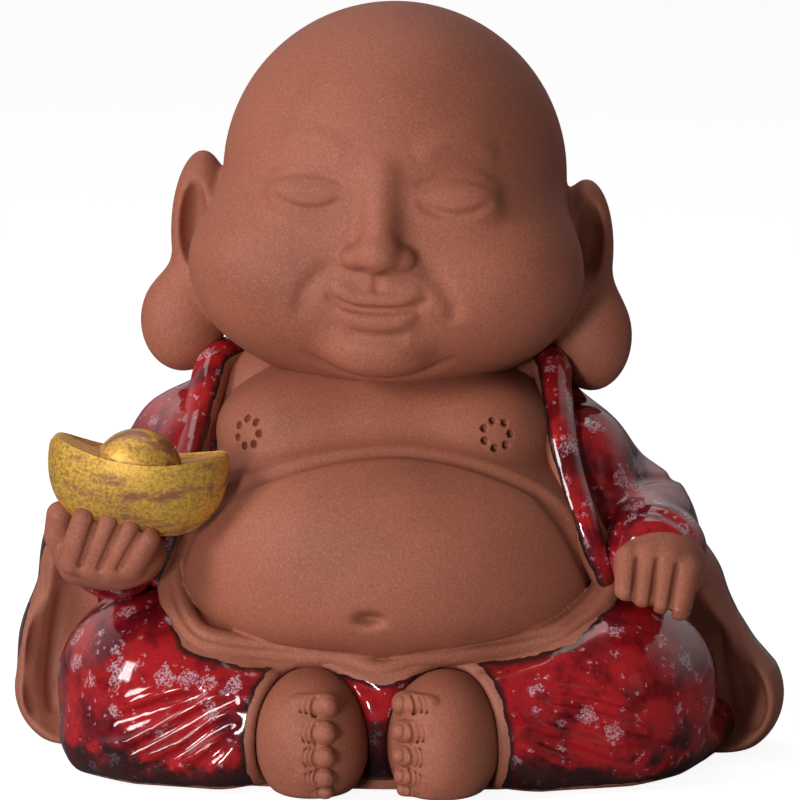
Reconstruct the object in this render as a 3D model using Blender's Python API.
"""Seated laughing figure, a clay tea pet.

Press-moulded clay pieces are luted together: two head halves on a neck collar, two torso halves on a
base plate, and solid ears, arms, hands, legs, feet and a gold ingot seated against them.

Units are metres, +Z is up and the figure faces -Y. Its own right side is at -X.
Every piece is trimmed by the pieces that it is luted to, with one gap of CLEARANCE between them.
"""

import math

import bmesh
import bpy
from mathutils import Matrix, Vector
from mathutils.bvhtree import BVHTree

MM = 0.001
RIGHT, LEFT = -1, 1
SIDE_NAMES = {RIGHT: "right", LEFT: "left"}

# Luted joints and walls
CLEARANCE = 0.3 * MM
TORSO_WALL = 4.0 * MM
HEAD_WALL = 3.5 * MM

# Torso: a sagging belly, a chest with two breasts, a back and the hips that it sits on
BELLY_HALF_WIDTH = 28.8 * MM
BELLY_HALF_DEPTH = 25.5 * MM
BELLY_HALF_HEIGHT = 16.5 * MM
BELLY_FORWARD = 6.0 * MM
BELLY_RISE = 29.0 * MM
SAG_HALF_WIDTH = 24.5 * MM
SAG_HALF_DEPTH = 19.0 * MM
SAG_HALF_HEIGHT = 8.0 * MM
SAG_FORWARD = 9.5 * MM
SAG_DROP = 6.0 * MM
CHEST_HALF_WIDTH = 24.0 * MM
CHEST_HALF_DEPTH = 19.5 * MM
CHEST_HALF_HEIGHT = 13.0 * MM
CHEST_RISE = 40.0 * MM
BREAST_HALF_WIDTH = 9.2 * MM
BREAST_HALF_DEPTH = 7.4 * MM
BREAST_HALF_HEIGHT = 6.2 * MM
BREAST_INSET = 11.0 * MM
BREAST_FORWARD = 10.5 * MM
BREAST_LIFT = 2.8 * MM
BACK_HALF_WIDTH = 28.0 * MM
BACK_HALF_DEPTH = 21.0 * MM
BACK_HALF_HEIGHT = 27.0 * MM
BACK_SETBACK = 8.0 * MM
BACK_RISE = 24.5 * MM
HIP_HALF_WIDTH = 33.5 * MM
HIP_HALF_DEPTH = 26.0 * MM
HIP_HALF_HEIGHT = 20.0 * MM
HIP_SETBACK = 3.0 * MM
HIP_RISE = 12.0 * MM
TORSO_PARTING_SETBACK = 5.0 * MM

# Head: an egg with round cheeks and a plain face, tipped a little to its left
HEAD_HEIGHT = 48.6 * MM
HEAD_HALF_WIDTH = 24.2 * MM
HEAD_HALF_DEPTH = 22.6 * MM
HEAD_FULLNESS = 2.35
HEAD_SINK = 6.2 * MM
HEAD_OFFSET = -0.8 * MM
HEAD_ROLL = math.radians(1.8)
JOWL_RISE = 12.4 * MM
CHEEK_HALF_WIDTH = 13.2 * MM
CHEEK_HALF_DEPTH = 16.4 * MM
CHEEK_HALF_HEIGHT = 11.4 * MM
CHEEK_OUT = 10.5 * MM
CHEEK_FORWARD = 5.6 * MM
CHEEK_RISE = 16.0 * MM
CHIN_HALF_WIDTH = 5.6 * MM
CHIN_HALF_DEPTH = 4.0 * MM
CHIN_HALF_HEIGHT = 3.6 * MM
CHIN_FORWARD = 18.2 * MM
CHIN_RISE = 7.2 * MM
LIPS_HALF_WIDTH = 6.6 * MM
LIPS_HALF_DEPTH = 4.0 * MM
LIPS_HALF_HEIGHT = 3.2 * MM
LIPS_FORWARD = 18.6 * MM
LIPS_RISE = 12.7 * MM
NOSE_HALF_WIDTH = 4.0 * MM
NOSE_HALF_HEIGHT = 3.6 * MM
NOSE_STANDOFF = 2.4 * MM
NOSE_RISE = 21.0 * MM
NOSE_BRIDGE_RADIUS = 1.6 * MM
EYELID_HALF_WIDTH = 5.0 * MM
EYELID_HALF_DEPTH = 2.7 * MM
EYELID_HALF_HEIGHT = 2.7 * MM
EYELID_OUT = 9.0 * MM
EYELID_FORWARD = 19.3 * MM
EYELID_RISE = 26.2 * MM

# Neck collar: a clay ring in the bore that joins the two hollows
NECK_BORE_RADIUS = 8.0 * MM
NECK_SETBACK = 1.0 * MM
COLLAR_WALL = 2.0 * MM
COLLAR_HEIGHT = 9.0 * MM

# Ears with long lobes
EAR_HALF_WIDTH = 4.2 * MM
EAR_HALF_DEPTH = 4.4 * MM
EAR_HALF_HEIGHT = 9.0 * MM
EAR_STANDOFF = 0.2 * MM
EAR_SETBACK = 3.0 * MM
EAR_RISE = 18.6 * MM
EAR_HOLLOW_DEPTH = 2.2 * MM
EAR_RIM = 2.2 * MM
LOBE_HALF_WIDTH = 5.2 * MM
LOBE_HALF_DEPTH = 5.0 * MM
LOBE_HALF_HEIGHT = 6.6 * MM
LOBE_DROP = 10.6 * MM
LOBE_OUT = 1.8 * MM

# Trouser legs, folded flat with the knees out
KNEE_HALF_WIDTH = 14.8 * MM
KNEE_HALF_DEPTH = 16.0 * MM
KNEE_HALF_HEIGHT = 12.4 * MM
KNEE_TUCK = 7.0 * MM
KNEE_FORWARD = 10.0 * MM
KNEE_RISE = 11.2 * MM
SHIN_RADIUS = 10.4 * MM
ANKLE_RADIUS = 8.6 * MM
THIGH_RADIUS = 10.5 * MM
SKIRT_RADIUS = 3.9 * MM
CROTCH_HALF_WIDTH = 17.0 * MM
CROTCH_HALF_DEPTH = 9.0 * MM
CROTCH_HALF_HEIGHT = 9.4 * MM
CROTCH_SINK = 3.5 * MM
CROTCH_RISE = 9.8 * MM

# Folds pressed into the trousers with a round tool, fanning from the ankle out over the knee
FOLD_RADIUS = 0.9 * MM
FOLD_ANKLE_OUT = 2.4 * MM
FOLD_ANKLE_RISES = (11.8 * MM, 9.2 * MM, 6.6 * MM)
FOLD_KNEE_REACHES = (19.6 * MM, 13.6 * MM, 7.8 * MM)
FOLD_KNEE_RISES = (3.8 * MM, 2.6 * MM, 2.0 * MM)
FOLD_STEPS = 5

# Feet on their outer edges, soles facing each other
FOOT_HALF_WIDTH = 7.0 * MM
FOOT_HALF_DEPTH = 9.6 * MM
FOOT_HALF_HEIGHT = 7.6 * MM
FOOT_GAP = 2.4 * MM
FOOT_FORWARD = 25.4 * MM
TOE_COUNT = 5
BIG_TOE_RADIUS = 2.2 * MM
LITTLE_TOE_RADIUS = 1.5 * MM
TOE_INSET = 2.4 * MM
TOE_STRETCH = 1.25
TOE_SINK = 0.9 * MM

# Robe lapels, flat bands from the nape over the shoulders to the waist
LAPEL_HALF_WIDTH = 3.9 * MM
LAPEL_WAIST_HALF_WIDTH = 2.5 * MM
LAPEL_FLATNESS = 0.85
LAPEL_LIFT = 1.4 * MM
LAPEL_NAPE_TURN = math.radians(124)
LAPEL_CHEST_TURN = math.radians(62)
LAPEL_WAIST_TURN = math.radians(68)
LAPEL_SHOULDER_DROP = 2.0 * MM
LAPEL_WAIST_DROP = 6.0 * MM

# Sleeves and the cloth that hangs from them
SHOULDER_RADIUS = 7.6 * MM
SHOULDER_INSET = 10.0 * MM
SHOULDER_SETBACK = 3.0 * MM
SHOULDER_SINK = 2.4 * MM
UPPER_ARM_RISE = 37.2 * MM
RIGHT_ARM_LIFT = 1.2 * MM
ELBOW_RADIUS = 6.8 * MM
ELBOW_OUT = 4.6 * MM
ELBOW_SETBACK = 1.0 * MM
ELBOW_RISE = 30.5 * MM
CUFF_RADIUS = 6.2 * MM
PANEL_HALF_WIDTH = 6.8 * MM
PANEL_HALF_DEPTH = 8.2 * MM
PANEL_HALF_HEIGHT = 10.6 * MM
PANEL_FORWARD = 5.0 * MM
PANEL_RISE = 35.0 * MM
DRAPE_TOP_RADIUS = 6.4 * MM
DRAPE_HEM_RADIUS = 8.0 * MM
RIGHT_DRAPE_BEND_OUT = 11.8 * MM
RIGHT_DRAPE_BEND_RISE = 24.5 * MM
LEFT_DRAPE_BEND_OUT = 9.4 * MM
LEFT_DRAPE_BEND_RISE = 18.5 * MM
DRAPE_HEM_OUT = 14.4 * MM
DRAPE_HEM_RISE = 7.6 * MM
DRAPE_SETBACK = 6.0 * MM
DRAPE_DEEPENING = 1.35
DRAPE_MOUTH_AHEAD = 12.8 * MM

# Hands
PALM_HALF_WIDTH = 6.2 * MM
PALM_HALF_DEPTH = 5.6 * MM
PALM_HALF_HEIGHT = 4.8 * MM
RIGHT_HAND_FORWARD = 12.6 * MM
LEFT_HAND_FORWARD = 9.0 * MM
HAND_OUT = 6.4 * MM
FINGER_COUNT = 4
FINGER_RADIUS = 1.9 * MM
FINGER_TIP_RADIUS = 1.7 * MM
RIGHT_FINGER_LENGTH = 6.0 * MM
LEFT_FINGER_LENGTH = 3.6 * MM
THUMB_RADIUS = 1.9 * MM
THUMB_LENGTH = 7.0 * MM

# Ingot, a boat with upturned horns and a dome
INGOT_HALF_LENGTH = 11.4 * MM
INGOT_HALF_BEAM = 6.8 * MM
INGOT_DEPTH = 8.0 * MM
INGOT_HORN_RISE = 4.0 * MM
INGOT_HORN_WIDTH = 1.2 * MM
INGOT_RIM_WALL = 1.2 * MM
INGOT_WELL = 1.4 * MM
INGOT_WELL_INSET = 3.6 * MM
INGOT_TILT = math.radians(6.0)
INGOT_INSET = 2.8 * MM
INGOT_FORWARD = 2.4 * MM
INGOT_SINK = 1.5 * MM
DOME_HALF_LENGTH = 5.6 * MM
DOME_HALF_BEAM = 4.6 * MM
DOME_HALF_HEIGHT = 6.2 * MM

# Base plate with its kiln vent
BASE_THICKNESS = 2.0 * MM
BASE_INSET = 6.0 * MM
BASE_HALF_DEPTH = 23.0 * MM
BASE_SQUARENESS = 2.6
VENT_RADIUS = 4.0 * MM
VENT_SETBACK = 13.0 * MM

# Facets round and along the pieces
LARGE_BLOB = (24, 14)
MEDIUM_BLOB = (18, 10)
SMALL_BLOB = (10, 6)
HOLLOW_BLOB = (16, 8)
ROD_SIDES = 12
THIN_ROD_SIDES = 8
ROD_STEPS = 3
ROD_CAP_RINGS = 2
BOAT_STATIONS = 11
BOAT_ARC = 8
DISC_SIDES = 40
BORE_SIDES = 24
SMOOTH_ANGLE = math.radians(40)

# Places that follow from the sizes
KNEE_X = HIP_HALF_WIDTH - KNEE_TUCK
KNEE_TOP = KNEE_RISE + KNEE_HALF_HEIGHT
SHOULDER_TOP = CHEST_RISE + CHEST_HALF_HEIGHT
BASE_HALF_WIDTH = KNEE_X + KNEE_HALF_WIDTH - BASE_INSET
HEAD_BOTTOM = SHOULDER_TOP - HEAD_SINK
HEAD_PIVOT = Vector((HEAD_OFFSET, 0, HEAD_BOTTOM))
HEAD_FRAME = Matrix.Translation(HEAD_PIVOT) @ Matrix.Rotation(HEAD_ROLL, 4, "Y")
FOOT_X = FOOT_GAP / 2 + FOOT_HALF_WIDTH
BELLY_OVAL = ((0, -BELLY_FORWARD, BELLY_RISE), (BELLY_HALF_WIDTH, BELLY_HALF_DEPTH, BELLY_HALF_HEIGHT))
CHEST_OVAL = ((0, 0, CHEST_RISE), (CHEST_HALF_WIDTH, CHEST_HALF_DEPTH, CHEST_HALF_HEIGHT))
BACK_OVAL = ((0, BACK_SETBACK, BACK_RISE), (BACK_HALF_WIDTH, BACK_HALF_DEPTH, BACK_HALF_HEIGHT))
HIP_OVAL = ((0, HIP_SETBACK, HIP_RISE), (HIP_HALF_WIDTH, HIP_HALF_DEPTH, HIP_HALF_HEIGHT))
SAG_OVAL = ((0, -SAG_FORWARD, BELLY_RISE - SAG_DROP), (SAG_HALF_WIDTH, SAG_HALF_DEPTH, SAG_HALF_HEIGHT))
REACH = 0.2


def principled(name, colour, roughness, metallic=0.0):
    material = bpy.data.materials.new(name)
    material.use_nodes = True
    shader = material.node_tree.nodes["Principled BSDF"]
    shader.inputs["Base Color"].default_value = (*colour, 1)
    shader.inputs["Roughness"].default_value = roughness
    shader.inputs["Metallic"].default_value = metallic
    return material


def object_from(name, bm):
    """Links the finished bmesh as an object, with its faces pointing out."""
    bmesh.ops.recalc_face_normals(bm, faces=bm.faces)
    mesh = bpy.data.meshes.new(name)
    bm.to_mesh(mesh)
    bm.free()
    solid = bpy.data.objects.new(name, mesh)
    bpy.context.scene.collection.objects.link(solid)
    return solid


def blob(centre, radii, grow=0.0, frame=Matrix(), facets=MEDIUM_BLOB):
    """A closed ellipsoid whose radii are widened by grow."""
    bm = bmesh.new()
    bmesh.ops.create_uvsphere(bm, u_segments=facets[0], v_segments=facets[1], radius=1)
    stretch = Matrix.Diagonal([radius + grow for radius in radii]).to_4x4()
    bm.transform(frame @ Matrix.Translation(centre) @ stretch)
    return object_from("blob", bm)


def curve_through(keys, steps):
    """Points on a smooth curve through the keys, each a place and a radius."""
    ends = [keys[0]] + list(keys) + [keys[-1]]
    points = []
    for before, start, stop, after in zip(ends, ends[1:], ends[2:], ends[3:]):
        for step in range(steps):
            t = step / steps
            weights = (
                -0.5 * t + t**2 - 0.5 * t**3,
                1 - 2.5 * t**2 + 1.5 * t**3,
                0.5 * t + 2 * t**2 - 1.5 * t**3,
                -0.5 * t**2 + 0.5 * t**3,
            )
            points.append(sum_of(weights, (before, start, stop, after)))
    return points + [keys[-1]]


def sum_of(weights, keys):
    place = sum((w * Vector(key[0]) for w, key in zip(weights, keys)), Vector())
    return place, sum(w * key[1] for w, key in zip(weights, keys))


def forward(place):
    return Vector((0, 1, 0))


def upward(place):
    return Vector((0, 0, 1))


def out_of_torso(place):
    return place - Vector((0, 0, BELLY_RISE))


def rod(keys, grow=0.0, flatness=1.0, thin=forward, sides=ROD_SIDES):
    """A tapered tube with round ends through the keys, thinner along the direction that thin gives."""
    path = curve_through(keys, ROD_STEPS)
    bm = bmesh.new()
    rings = []
    last = len(path) - 1
    for index, (place, radius) in enumerate(path):
        ahead = path[min(index + 1, last)][0] - path[max(index - 1, 0)][0]
        along = ahead.normalized()
        across = thin(place)
        narrow = (across - across.dot(along) * along).normalized()
        half_thickness = radius * flatness + grow
        wide_reach = along.cross(narrow) * (radius + grow)
        narrow_reach = narrow * half_thickness
        for offset, share in cap_offsets(index, last):
            centre = place + along * offset * half_thickness
            rings.append(rod_ring(bm, centre, wide_reach * share, narrow_reach * share, sides))
    for first, second in zip(rings, rings[1:]):
        for i in range(sides):
            j = (i + 1) % sides
            bm.faces.new((first[i], first[j], second[j], second[i]))
    for ring, end, step in ((rings[0], path[0], path[1]), (rings[-1], path[-1], path[-2])):
        outward = (end[0] - step[0]).normalized()
        pole = bm.verts.new(end[0] + outward * (end[1] * flatness + grow))
        for i in range(sides):
            bm.faces.new((ring[i], ring[(i + 1) % sides], pole))
    return object_from("rod", bm)


def cap_offsets(index, last):
    """Where the rings of a round end lie, as shares of the end's radius, and how wide each is."""
    angles = [math.pi / 2 * ring / (ROD_CAP_RINGS + 1) for ring in range(ROD_CAP_RINGS, 0, -1)]
    round_end = [(math.sin(angle), math.cos(angle)) for angle in angles]
    if index == 0:
        return [(-offset, share) for offset, share in round_end] + [(0.0, 1.0)]
    if index == last:
        return [(0.0, 1.0)] + round_end[::-1]
    return [(0.0, 1.0)]


def rod_ring(bm, centre, wide, narrow, sides):
    turns = [2 * math.pi * i / sides for i in range(sides)]
    return [bm.verts.new(centre + wide * math.cos(turn) + narrow * math.sin(turn)) for turn in turns]


def prism(outline, low, high):
    """An upright prism over a closed outline of X and Y."""
    bm = bmesh.new()
    floor = bm.faces.new([bm.verts.new((x, y, low)) for x, y in outline])
    raised = bmesh.ops.extrude_face_region(bm, geom=[floor])
    tops = [item for item in raised["geom"] if isinstance(item, bmesh.types.BMVert)]
    bmesh.ops.translate(bm, verts=tops, vec=(0, 0, high - low))
    return object_from("prism", bm)


def rounded_outline(half_width, half_depth, squareness, sides):
    """A closed superellipse; a squareness of 2 is a plain ellipse."""
    outline = []
    for i in range(sides):
        turn = 2 * math.pi * i / sides
        across = math.copysign(abs(math.cos(turn)) ** (2 / squareness), math.cos(turn))
        along = math.copysign(abs(math.sin(turn)) ** (2 / squareness), math.sin(turn))
        outline.append((across * half_width, along * half_depth))
    return outline


def box(low, high):
    corners = [(low[0], low[1]), (high[0], low[1]), (high[0], high[1]), (low[0], high[1])]
    return prism(corners, low[2], high[2])


def apply_boolean(target, tool, operation):
    """Cuts with the manifold solver, because the exact one leaves the ears open and loses a sleeve."""
    modifier = target.modifiers.new(operation, "BOOLEAN")
    modifier.operation = operation
    modifier.solver = "MANIFOLD"
    modifier.object = tool
    graph = bpy.context.evaluated_depsgraph_get()
    result = bpy.data.meshes.new_from_object(target.evaluated_get(graph))
    target.modifiers.clear()
    spent = target.data
    target.data = result
    bpy.data.meshes.remove(spent)


def discard(solid):
    mesh = solid.data
    bpy.data.objects.remove(solid)
    bpy.data.meshes.remove(mesh)


def fuse(*solids):
    """Joins solids into the first one."""
    first, *rest = solids
    for other in rest:
        apply_boolean(first, other, "UNION")
        discard(other)
    return first


def trim(target, *tools):
    """Cuts the tools out of the target and discards them."""
    for tool in tools:
        apply_boolean(target, tool, "DIFFERENCE")
        discard(tool)
    return target


def duplicate(solid):
    copy = solid.copy()
    copy.data = solid.data.copy()
    bpy.context.scene.collection.objects.link(copy)
    return copy


def drop_offcuts(solid):
    """Keeps the largest connected body, as a potter trims off what a cut leaves loose."""
    bm = bmesh.new()
    bm.from_mesh(solid.data)
    unseen = set(bm.verts)
    bodies = []
    while unseen:
        body, front = set(), [unseen.pop()]
        while front:
            vertex = front.pop()
            body.add(vertex)
            for edge in vertex.link_edges:
                other = edge.other_vert(vertex)
                if other in unseen:
                    unseen.discard(other)
                    front.append(other)
        bodies.append(body)
    main_body = max(bodies, key=spread_of)
    spare = [vertex for body in bodies if body is not main_body for vertex in body]
    bmesh.ops.delete(bm, geom=spare, context="VERTS")
    bm.to_mesh(solid.data)
    bm.free()


def spread_of(body):
    """The box volume that a set of vertices fills."""
    spans = [max(v.co[axis] for v in body) - min(v.co[axis] for v in body) for axis in range(3)]
    return math.prod(spans)


def finish(solid, name, material, anchor):
    """Names the piece, moves its origin to its anchor and shades it smooth."""
    drop_offcuts(solid)
    solid.name = name
    solid.data.name = name
    solid.data.transform(Matrix.Translation(-Vector(anchor)))
    solid.location = anchor
    solid.data.materials.clear()
    solid.data.materials.append(material)
    solid.data.shade_smooth()
    solid.data.set_sharp_from_angle(angle=SMOOTH_ANGLE)
    return solid


def below_base(grow=0.0):
    """Everything lower than the top of the base plate."""
    return box((-REACH, -REACH, -REACH), (REACH, REACH, BASE_THICKNESS + grow))


def below_table(grow=0.0):
    return box((-REACH, -REACH, -REACH), (REACH, REACH, grow))


def behind(y):
    return box((-REACH, y, -REACH), (REACH, REACH, REACH))


def in_front_of(y):
    return box((-REACH, -REACH, -REACH), (REACH, y, REACH))


def breast_form(side, grow, facets):
    centre = (side * (CHEST_HALF_WIDTH - BREAST_INSET), -BREAST_FORWARD, CHEST_RISE + BREAST_LIFT)
    return blob(centre, (BREAST_HALF_WIDTH, BREAST_HALF_DEPTH, BREAST_HALF_HEIGHT), grow, facets=facets)


def torso_form(grow=0.0, facets=LARGE_BLOB):
    ovals = (BACK_OVAL, BELLY_OVAL, SAG_OVAL, CHEST_OVAL, HIP_OVAL)
    lumps = [blob(*oval, grow, facets=facets) for oval in ovals]
    return fuse(*lumps, *[breast_form(side, grow, facets) for side in (RIGHT, LEFT)])


def head_form(grow=0.0, facets=LARGE_BLOB):
    """The egg of the head with its two round cheeks."""
    radii = (CHEEK_HALF_WIDTH, CHEEK_HALF_DEPTH, CHEEK_HALF_HEIGHT)
    cheeks = [
        blob((side * CHEEK_OUT, -CHEEK_FORWARD, CHEEK_RISE), radii, grow, HEAD_FRAME, facets)
        for side in (RIGHT, LEFT)
    ]
    return fuse(egg(grow, facets), *cheeks)


def egg(grow, facets):
    """An egg in the tipped frame whose origin is the underside of the head.

    Seen from the front it is widest at the jowls, and seen from the side at half its height.
    """
    bm = bmesh.new()
    bmesh.ops.create_uvsphere(bm, u_segments=facets[0], v_segments=facets[1], radius=1)
    for vertex in bm.verts:
        x, y, z = vertex.co
        waist = math.hypot(x, y)
        if waist == 0:
            x, y, waist = 0, 0, 1
        above = HEAD_HEIGHT - JOWL_RISE if z > 0 else JOWL_RISE
        fullness = HEAD_FULLNESS if z > 0 else 2
        height = JOWL_RISE + math.copysign(abs(z) ** (2 / fullness), z) * above
        off_middle = min(abs(2 * height / HEAD_HEIGHT - 1), 1)
        depth_share = (1 - off_middle**HEAD_FULLNESS) ** (1 / HEAD_FULLNESS)
        across = x / waist * (waist ** (2 / fullness) * HEAD_HALF_WIDTH + grow)
        along = y / waist * (depth_share * HEAD_HALF_DEPTH + grow)
        vertex.co = (across, along, height + z * grow)
    bm.transform(HEAD_FRAME)
    return object_from("egg", bm)


def face_forms():
    """A plain rounded nose with its bridge, closed eyelids, lips and a chin on the front of the head."""
    eyelid = (EYELID_HALF_WIDTH, EYELID_HALF_DEPTH, EYELID_HALF_HEIGHT)
    lumps = [
        ((0, -HEAD_HALF_DEPTH, NOSE_RISE), (NOSE_HALF_WIDTH, NOSE_STANDOFF, NOSE_HALF_HEIGHT)),
        ((0, -LIPS_FORWARD, LIPS_RISE), (LIPS_HALF_WIDTH, LIPS_HALF_DEPTH, LIPS_HALF_HEIGHT)),
        ((0, -CHIN_FORWARD, CHIN_RISE), (CHIN_HALF_WIDTH, CHIN_HALF_DEPTH, CHIN_HALF_HEIGHT)),
        ((RIGHT * EYELID_OUT, -EYELID_FORWARD, EYELID_RISE), eyelid),
        ((LEFT * EYELID_OUT, -EYELID_FORWARD, EYELID_RISE), eyelid),
    ]
    forms = [blob(place, radii, frame=HEAD_FRAME, facets=SMALL_BLOB) for place, radii in lumps]
    return forms + [nose_bridge()]


def nose_bridge():
    foot = Vector((0, -HEAD_HALF_DEPTH, NOSE_RISE))
    brow = Vector((0, -HEAD_HALF_DEPTH + NOSE_BRIDGE_RADIUS / 2, EYELID_RISE + EYELID_HALF_HEIGHT))
    return rod([(HEAD_FRAME @ place, NOSE_BRIDGE_RADIUS) for place in (foot, brow)], sides=THIN_ROD_SIDES)


def neck_bore(radius, low, high):
    outline = rounded_outline(radius, radius, 2, BORE_SIDES)
    bore = prism(outline, low, high)
    bore.data.transform(Matrix.Translation((HEAD_OFFSET, NECK_SETBACK, 0)))
    return bore


def make_head(clay):
    shell = fuse(head_form(), *face_forms())
    trim(shell, head_form(-HEAD_WALL, HOLLOW_BLOB))
    trim(shell, neck_bore(NECK_BORE_RADIUS, HEAD_BOTTOM - REACH, HEAD_BOTTOM + JOWL_RISE))
    back = trim(duplicate(shell), in_front_of(CLEARANCE / 2))
    front = trim(shell, behind(-CLEARANCE / 2))
    finish(front, "head_front", clay, HEAD_PIVOT)
    finish(back, "head_back", clay, HEAD_PIVOT)


def make_neck_collar(clay):
    outer = NECK_BORE_RADIUS - CLEARANCE
    middle = HEAD_BOTTOM + (HEAD_WALL - TORSO_WALL) / 2
    low, high = middle - COLLAR_HEIGHT / 2, middle + COLLAR_HEIGHT / 2
    collar = neck_bore(outer, low, high)
    trim(collar, neck_bore(outer - COLLAR_WALL, low - REACH, high + REACH))
    finish(collar, "neck_collar", clay, (HEAD_OFFSET, NECK_SETBACK, middle))


def make_torso(clay, glaze):
    hollow = trim(torso_form(-TORSO_WALL, HOLLOW_BLOB), head_form(TORSO_WALL, HOLLOW_BLOB))
    shell = trim(torso_form(), hollow, head_form(CLEARANCE), below_base(CLEARANCE))
    trim(shell, neck_bore(NECK_BORE_RADIUS, HIP_RISE, HEAD_BOTTOM + JOWL_RISE))
    back = trim(duplicate(shell), in_front_of(TORSO_PARTING_SETBACK + CLEARANCE / 2))
    front = trim(shell, behind(TORSO_PARTING_SETBACK - CLEARANCE / 2))
    finish(front, "torso_front", clay, BELLY_OVAL[0])
    finish(back, "torso_back", glaze, BACK_OVAL[0])


def ear_centre(side):
    return Vector((side * (HEAD_HALF_WIDTH + EAR_STANDOFF), EAR_SETBACK, EAR_RISE))


def ear_form(side, grow=0.0):
    shell_radii = (EAR_HALF_WIDTH, EAR_HALF_DEPTH, EAR_HALF_HEIGHT)
    lobe_centre = ear_centre(side) + Vector((side * LOBE_OUT, 0, -LOBE_DROP))
    lobe_radii = (LOBE_HALF_WIDTH, LOBE_HALF_DEPTH, LOBE_HALF_HEIGHT)
    return fuse(
        blob(ear_centre(side), shell_radii, grow, HEAD_FRAME),
        blob(lobe_centre, lobe_radii, grow, HEAD_FRAME),
    )


def make_ear(side, clay):
    ear = ear_form(side)
    hollow_centre = ear_centre(side) + Vector((0, -EAR_HALF_DEPTH, 0))
    hollow = (EAR_HALF_WIDTH - EAR_RIM, EAR_HOLLOW_DEPTH, EAR_HALF_HEIGHT - EAR_RIM)
    trim(ear, blob(hollow_centre, hollow, frame=HEAD_FRAME, facets=SMALL_BLOB))
    trim(ear, head_form(CLEARANCE), torso_form(CLEARANCE))
    finish(ear, f"{SIDE_NAMES[side]}_ear", clay, HEAD_FRAME @ ear_centre(side))


def base_outline(grow=0.0):
    return rounded_outline(BASE_HALF_WIDTH + grow, BASE_HALF_DEPTH + grow, BASE_SQUARENESS, DISC_SIDES)


def make_base_plate(clay):
    plate = prism(base_outline(), 0, BASE_THICKNESS)
    vent = prism(rounded_outline(VENT_RADIUS, VENT_RADIUS, 2, BORE_SIDES), -REACH, REACH)
    vent.data.transform(Matrix.Translation((0, VENT_SETBACK, 0)))
    trim(plate, vent)
    finish(plate, "base_plate", clay, (0, 0, 0))


def base_form(grow):
    return prism(base_outline(grow), -REACH, BASE_THICKNESS + grow)


def foot_centre(side):
    return Vector((side * FOOT_X, -FOOT_FORWARD, CLEARANCE + FOOT_HALF_HEIGHT))


def toe_form(side, index, grow):
    """One toe of the column down the front of the foot, the big toe uppermost."""
    share = index / (TOE_COUNT - 1)
    radius = BIG_TOE_RADIUS + (LITTLE_TOE_RADIUS - BIG_TOE_RADIUS) * share
    highest = FOOT_HALF_HEIGHT - BIG_TOE_RADIUS
    rise = highest - (2 * FOOT_HALF_HEIGHT - BIG_TOE_RADIUS - LITTLE_TOE_RADIUS) * share
    roundness = 1 - (rise / FOOT_HALF_HEIGHT) ** 2 - (TOE_INSET / FOOT_HALF_WIDTH) ** 2
    front = FOOT_HALF_DEPTH * math.sqrt(max(roundness, 0)) - TOE_SINK
    centre = foot_centre(side) + Vector((-side * TOE_INSET, -front, rise))
    return blob(centre, (radius * TOE_STRETCH, radius, radius), grow, facets=SMALL_BLOB)


def foot_form(side, grow=0.0):
    foot = blob(foot_centre(side), (FOOT_HALF_WIDTH, FOOT_HALF_DEPTH, FOOT_HALF_HEIGHT), grow)
    return fuse(foot, *[toe_form(side, index, grow) for index in range(TOE_COUNT)])


def make_foot(side, clay):
    foot = trim(foot_form(side), base_form(CLEARANCE), below_table(CLEARANCE))
    trim(foot, torso_form(CLEARANCE))
    finish(foot, f"{SIDE_NAMES[side]}_foot", clay, foot_centre(side))


def knee_centre(side):
    return Vector((side * KNEE_X, -KNEE_FORWARD, KNEE_RISE))


def leg_form(side, grow=0.0):
    """Knee, shin coming in to the ankle, thigh back to the hip, and the cloth spread on the floor."""
    ankle = Vector((side * (FOOT_X + FOOT_HALF_WIDTH), -FOOT_FORWARD + ANKLE_RADIUS / 2, ANKLE_RADIUS))
    shin_top = Vector((side * KNEE_X, -KNEE_FORWARD - KNEE_HALF_DEPTH + SHIN_RADIUS, SHIN_RADIUS))
    hip = Vector((side * (HIP_HALF_WIDTH - THIGH_RADIUS), HIP_SETBACK, HIP_RISE))
    spread = [
        Vector((side * (KNEE_X + KNEE_HALF_WIDTH - SKIRT_RADIUS), -KNEE_FORWARD / 2, SKIRT_RADIUS)),
        Vector((side * (KNEE_X + KNEE_HALF_WIDTH / 2), -KNEE_FORWARD - KNEE_HALF_DEPTH / 2, SKIRT_RADIUS)),
        Vector((side * (KNEE_X - KNEE_HALF_WIDTH / 3), -FOOT_FORWARD, SKIRT_RADIUS)),
    ]
    return fuse(
        blob(knee_centre(side), (KNEE_HALF_WIDTH, KNEE_HALF_DEPTH, KNEE_HALF_HEIGHT), grow),
        rod([(shin_top, SHIN_RADIUS), (ankle, ANKLE_RADIUS)], grow, thin=upward),
        rod([(knee_centre(side), THIGH_RADIUS), (hip, THIGH_RADIUS)], grow, thin=upward),
        rod([(place, SKIRT_RADIUS) for place in spread], grow, thin=upward),
    )


def on_front_of(solid, spots):
    """The points that a needle meets when it is pushed in from the front at each X and Z."""
    corners = [vertex.co for vertex in solid.data.vertices]
    surface = BVHTree.FromPolygons(corners, [face.vertices for face in solid.data.polygons])
    hits = [surface.ray_cast(Vector((x, -REACH, z)), Vector((0, 1, 0)))[0] for x, z in spots]
    return [hit for hit in hits if hit]


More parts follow.
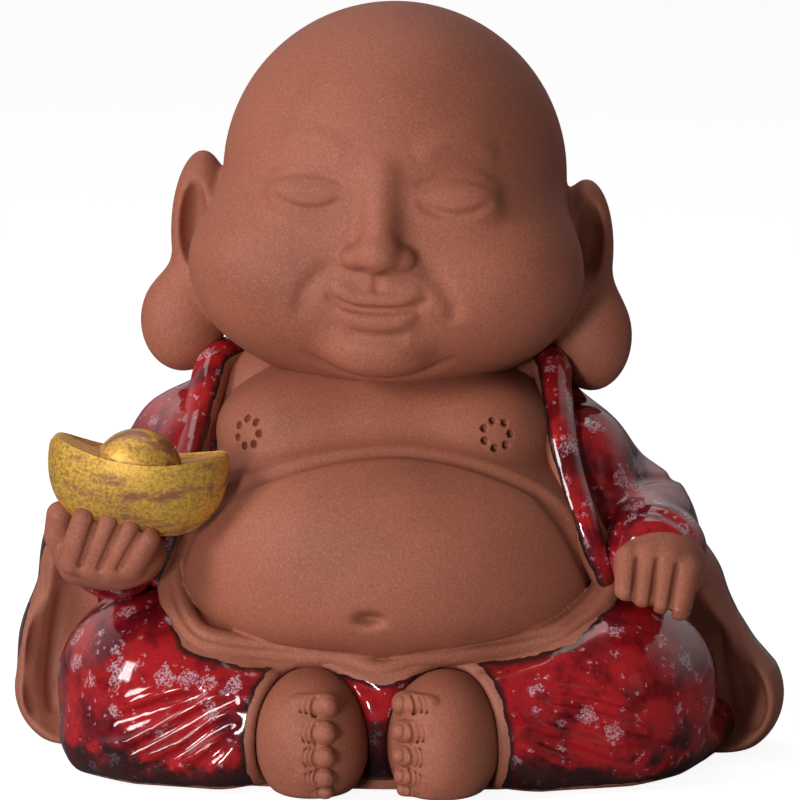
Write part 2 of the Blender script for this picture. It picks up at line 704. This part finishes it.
def fold_tool(leg, side, rises, reach):
    """One tool mark over the leg, from beside the ankle to the outside of the knee."""
    ankle_x = FOOT_X + FOOT_HALF_WIDTH + FOLD_ANKLE_OUT
    spots = []
    for step in range(FOLD_STEPS):
        share = step / (FOLD_STEPS - 1)
        spots.append((side * (ankle_x + reach * share), rises[0] + (rises[1] - rises[0]) * share))
    return rod([(place, FOLD_RADIUS) for place in on_front_of(leg, spots)], sides=THIN_ROD_SIDES)


def make_leg(side, glaze):
    leg = leg_form(side)
    marks = zip(FOLD_ANKLE_RISES, FOLD_KNEE_RISES, FOLD_KNEE_REACHES)
    tools = [fold_tool(leg, side, (ankle, knee), reach) for ankle, knee, reach in marks]
    trim(leg, *tools, torso_form(CLEARANCE), foot_form(side, CLEARANCE))
    trim(leg, base_form(CLEARANCE), below_table(CLEARANCE))
    finish(leg, f"{SIDE_NAMES[side]}_trouser_leg", glaze, knee_centre(side))


def crotch_centre():
    return Vector((0, HIP_SETBACK - HIP_HALF_DEPTH + CROTCH_SINK, CROTCH_RISE))


def crotch_form(grow=0.0):
    radii = (CROTCH_HALF_WIDTH, CROTCH_HALF_DEPTH, CROTCH_HALF_HEIGHT)
    return blob(crotch_centre(), radii, grow)


def make_trouser_front(glaze):
    panel = trim(crotch_form(), torso_form(CLEARANCE), below_base(CLEARANCE))
    for side in (RIGHT, LEFT):
        trim(panel, foot_form(side, CLEARANCE), leg_form(side, CLEARANCE))
    finish(panel, "trouser_front", glaze, crotch_centre())


def on_oval(side, turn, height, centre, radii):
    """A point on an ellipsoid, turned from the front towards one side, at a height over its middle."""
    waist = math.sqrt(1 - (height / radii[2]) ** 2)
    across = side * radii[0] * waist * math.sin(turn)
    along = -radii[1] * waist * math.cos(turn)
    return Vector(centre) + Vector((across, along, height))


def lapel_keys(side):
    """From the nape, round the neck, over the shoulder and down beside the belly."""
    collar_height = HEAD_BOTTOM - BACK_RISE + LAPEL_HALF_WIDTH / 2
    shoulder_height = CHEST_HALF_HEIGHT - LAPEL_SHOULDER_DROP - LAPEL_HALF_WIDTH / 2
    nape = on_oval(side, math.pi, collar_height, *BACK_OVAL)
    over_shoulder = [
        nape + Vector((side * (LAPEL_HALF_WIDTH + CLEARANCE), 0, 0)),
        on_oval(side, LAPEL_NAPE_TURN, collar_height, *BACK_OVAL),
        on_oval(side, math.pi / 2, shoulder_height - LAPEL_SHOULDER_DROP, *CHEST_OVAL),
        on_oval(side, LAPEL_CHEST_TURN, shoulder_height - 2 * LAPEL_SHOULDER_DROP, *CHEST_OVAL),
    ]
    beside_belly = [
        on_oval(side, LAPEL_CHEST_TURN, BELLY_HALF_HEIGHT / 2, *BELLY_OVAL),
        on_oval(side, LAPEL_WAIST_TURN, 0, *BELLY_OVAL),
        on_oval(side, LAPEL_WAIST_TURN, -LAPEL_WAIST_DROP, *BELLY_OVAL),
    ]
    widths = [LAPEL_HALF_WIDTH] * len(over_shoulder)
    for index in range(len(beside_belly)):
        share = (index + 1) / len(beside_belly)
        widths.append(LAPEL_HALF_WIDTH + (LAPEL_WAIST_HALF_WIDTH - LAPEL_HALF_WIDTH) * share)
    path = over_shoulder + beside_belly
    lifted = [place + out_of_torso(place).normalized() * LAPEL_LIFT for place in path]
    return list(zip(lifted, widths))


def lapel_form(side, grow=0.0):
    return rod(lapel_keys(side), grow, LAPEL_FLATNESS, thin=out_of_torso, sides=THIN_ROD_SIDES)


def make_lapel(side, glaze):
    lapel = trim(lapel_form(side), torso_form(CLEARANCE), head_form(CLEARANCE), ear_form(side, CLEARANCE))
    trim(lapel, leg_form(side, CLEARANCE))
    if side == RIGHT:
        trim(lapel, ingot_form(CLEARANCE))
    finish(lapel, f"{SIDE_NAMES[side]}_lapel", glaze, lapel_keys(side)[2][0])


def palm_centre(side):
    """The right hand lies palm up above its knee, and the left hand lies on its knee."""
    forward = RIGHT_HAND_FORWARD if side == RIGHT else LEFT_HAND_FORWARD
    return Vector((side * (KNEE_X + HAND_OUT), -KNEE_FORWARD - forward, KNEE_TOP + PALM_HALF_HEIGHT))


def finger_form(side, index, grow):
    """The right hand's fingers curl up in front of the palm, and the left hand's hang over the knee."""
    spread = 2 * index / (FINGER_COUNT - 1) - 1
    row = Vector((spread * (PALM_HALF_WIDTH - FINGER_RADIUS / 2), -PALM_HALF_DEPTH + FINGER_RADIUS, 0))
    root = palm_centre(side) + row
    rise = RIGHT_FINGER_LENGTH if side == RIGHT else -LEFT_FINGER_LENGTH
    tip = root + Vector((0, -FINGER_RADIUS, rise))
    return rod([(root, FINGER_RADIUS), (tip, FINGER_TIP_RADIUS)], grow, sides=THIN_ROD_SIDES)


def thumb_form(side, grow):
    root = palm_centre(side) + Vector((side * (PALM_HALF_WIDTH - THUMB_RADIUS / 2), 0, 0))
    tip = root + Vector((side * THUMB_RADIUS / 2, -THUMB_RADIUS, THUMB_LENGTH))
    return rod([(root, THUMB_RADIUS), (tip, THUMB_RADIUS)], grow, sides=THIN_ROD_SIDES)


def hand_form(side, grow=0.0):
    palm = blob(palm_centre(side), (PALM_HALF_WIDTH, PALM_HALF_DEPTH, PALM_HALF_HEIGHT), grow)
    digits = [finger_form(side, index, grow) for index in range(FINGER_COUNT)]
    if side == RIGHT:
        digits.append(thumb_form(side, grow))
    return fuse(palm, *digits)


def make_hand(side, clay):
    hand = trim(hand_form(side), leg_form(side, CLEARANCE), torso_form(CLEARANCE))
    trim(hand, lapel_form(side, CLEARANCE))
    if side == RIGHT:
        trim(hand, ingot_form(CLEARANCE))
    finish(hand, f"{SIDE_NAMES[side]}_hand", clay, palm_centre(side))


def ingot_frame():
    """The ingot stands in the right palm, its outer horn tipped up."""
    palm = palm_centre(RIGHT)
    seat = palm + Vector((INGOT_INSET, -INGOT_FORWARD, PALM_HALF_HEIGHT - INGOT_SINK))
    return Matrix.Translation(seat) @ Matrix.Rotation(INGOT_TILT, 4, "Y")


def ingot_form(grow=0.0):
    """A boat: round-bottomed sections that narrow and rise towards both horns."""
    bm = bmesh.new()
    rings = []
    for i in range(BOAT_STATIONS):
        t = math.sin(math.pi / 2 * (2 * i / (BOAT_STATIONS - 1) - 1))
        beam = (INGOT_HALF_BEAM - INGOT_HORN_WIDTH / 2) * (1 - t**2) + INGOT_HORN_WIDTH / 2 + grow
        rim = INGOT_DEPTH + INGOT_HORN_RISE * t**2 + grow
        keel = (INGOT_DEPTH + INGOT_HORN_RISE - INGOT_HORN_WIDTH) * t**4 - grow
        x = (INGOT_HALF_LENGTH + grow) * t
        section = [(x, math.cos(a) * beam, rim - math.sin(a) * (rim - keel)) for a in arc_angles()]
        rings.append([bm.verts.new(point) for point in section])
    for first, second in zip(rings, rings[1:]):
        for j in range(BOAT_ARC):
            bm.faces.new((first[j], first[j + 1], second[j + 1], second[j]))
        bm.faces.new((first[BOAT_ARC], first[0], second[0], second[BOAT_ARC]))
    bm.faces.new(rings[0])
    bm.faces.new(rings[-1][::-1])
    bm.transform(ingot_frame())
    return object_from("ingot", bm)


def arc_angles():
    return [math.pi * i / BOAT_ARC for i in range(BOAT_ARC + 1)]


def dome_centre():
    return Vector((0, 0, INGOT_DEPTH - INGOT_WELL))


def boat_form(grow=0.0):
    """The boat with the shallow well that the dome stands in."""
    well_radii = (INGOT_HALF_LENGTH - INGOT_WELL_INSET, INGOT_HALF_BEAM - INGOT_RIM_WALL, INGOT_WELL)
    return trim(ingot_form(grow), blob((0, 0, INGOT_DEPTH + grow), well_radii, frame=ingot_frame()))


def make_ingot(gold):
    dome_radii = (DOME_HALF_LENGTH, DOME_HALF_BEAM, DOME_HALF_HEIGHT)
    dome = trim(blob(dome_centre(), dome_radii, frame=ingot_frame()), boat_form(CLEARANCE))
    finish(boat_form(), "ingot_boat", gold, ingot_frame().translation)
    finish(dome, "ingot_dome", gold, ingot_frame() @ dome_centre())


def sleeve_keys(side):
    """From the shoulder over the elbow to the cuff round the wrist; the arm with the ingot is raised."""
    shoulder_rise = SHOULDER_TOP - SHOULDER_RADIUS - SHOULDER_SINK
    lift = RIGHT_ARM_LIFT if side == RIGHT else 0
    raised = Vector((side * lift, 0, lift))
    shoulder = Vector((side * (CHEST_HALF_WIDTH - SHOULDER_INSET), SHOULDER_SETBACK, shoulder_rise)) + raised
    upper_arm = Vector((side * CHEST_HALF_WIDTH, SHOULDER_SETBACK, UPPER_ARM_RISE)) + raised
    elbow = Vector((side * (KNEE_X + ELBOW_OUT), ELBOW_SETBACK, ELBOW_RISE))
    wrist = palm_centre(side) + Vector((0, PALM_HALF_DEPTH, 0))
    return [
        (shoulder, SHOULDER_RADIUS),
        (upper_arm, SHOULDER_RADIUS),
        (elbow, ELBOW_RADIUS),
        (wrist, CUFF_RADIUS),
    ]


def sleeve_form(side, grow=0.0):
    """The upper arm, a slimmer forearm that leaves it inside the elbow, and the cloth before the armpit."""
    shoulder, upper_arm, elbow, wrist = sleeve_keys(side)
    forearm_root = (elbow[0], (ELBOW_RADIUS + CUFF_RADIUS) / 2)
    upper = rod([shoulder, upper_arm, elbow], grow, thin=forward)
    panel_centre = (upper_arm[0].x, -PANEL_FORWARD, PANEL_RISE)
    panel = blob(panel_centre, (PANEL_HALF_WIDTH, PANEL_HALF_DEPTH, PANEL_HALF_HEIGHT), grow)
    return fuse(upper, rod([forearm_root, wrist], grow, thin=upward), panel)


def make_sleeve(side, glaze):
    sleeve = trim(sleeve_form(side), torso_form(CLEARANCE), head_form(CLEARANCE), ear_form(side, CLEARANCE))
    trim(sleeve, lapel_form(side, CLEARANCE), hand_form(side, CLEARANCE), leg_form(side, CLEARANCE))
    if side == RIGHT:
        trim(sleeve, ingot_form(CLEARANCE))
    finish(sleeve, f"{SIDE_NAMES[side]}_sleeve", glaze, sleeve_keys(side)[2][0])


def drape_keys(side):
    """From under the elbow, out past the knee and down to the hem on the floor."""
    elbow = sleeve_keys(side)[2][0]
    bend_out = RIGHT_DRAPE_BEND_OUT if side == RIGHT else LEFT_DRAPE_BEND_OUT
    bend_rise = RIGHT_DRAPE_BEND_RISE if side == RIGHT else LEFT_DRAPE_BEND_RISE
    bend = Vector((side * (KNEE_X + bend_out), DRAPE_SETBACK, bend_rise))
    hem = Vector((side * (KNEE_X + DRAPE_HEM_OUT), DRAPE_SETBACK, DRAPE_HEM_RISE))
    return [(elbow, DRAPE_TOP_RADIUS), (bend, DRAPE_TOP_RADIUS), (hem, DRAPE_HEM_RADIUS)]


def drape_mouth(side):
    """The shallow open mouth of the hanging sleeve, facing forward."""
    ahead = Vector((0, -DRAPE_MOUTH_AHEAD, 0))
    return rod([(place + ahead, radius) for place, radius in drape_keys(side)[1:]], 0.0, DRAPE_DEEPENING)


def make_drape(side, glaze):
    drape = trim(rod(drape_keys(side), 0.0, DRAPE_DEEPENING), drape_mouth(side))
    trim(drape, sleeve_form(side, CLEARANCE), torso_form(CLEARANCE))
    trim(drape, leg_form(side, CLEARANCE), hand_form(side, CLEARANCE))
    trim(drape, base_form(CLEARANCE), below_table(CLEARANCE))
    finish(drape, f"{SIDE_NAMES[side]}_sleeve_drape", glaze, drape_keys(side)[1][0])


def clear_scene():
    for old in list(bpy.data.objects):
        bpy.data.objects.remove(old)


def parent_to_figure():
    """Gathers the pieces under one empty at the middle of the base."""
    pieces = list(bpy.context.scene.objects)
    figure = bpy.data.objects.new("figure", None)
    bpy.context.scene.collection.objects.link(figure)
    for piece in pieces:
        piece.parent = figure


def main():
    clear_scene()
    clay = principled("fired_clay", (0.30, 0.125, 0.075), 0.75)
    glaze = principled("red_glaze", (0.33, 0.012, 0.015), 0.12)
    gold = principled("gold_paint", (0.62, 0.36, 0.06), 0.38, metallic=1.0)
    make_base_plate(clay)
    make_head(clay)
    make_neck_collar(clay)
    make_torso(clay, glaze)
    make_trouser_front(glaze)
    make_ingot(gold)
    for side in (RIGHT, LEFT):
        make_ear(side, clay)
        make_foot(side, clay)
        make_leg(side, glaze)
        make_lapel(side, glaze)
        make_hand(side, clay)
        make_sleeve(side, glaze)
        make_drape(side, glaze)
    parent_to_figure()


main()
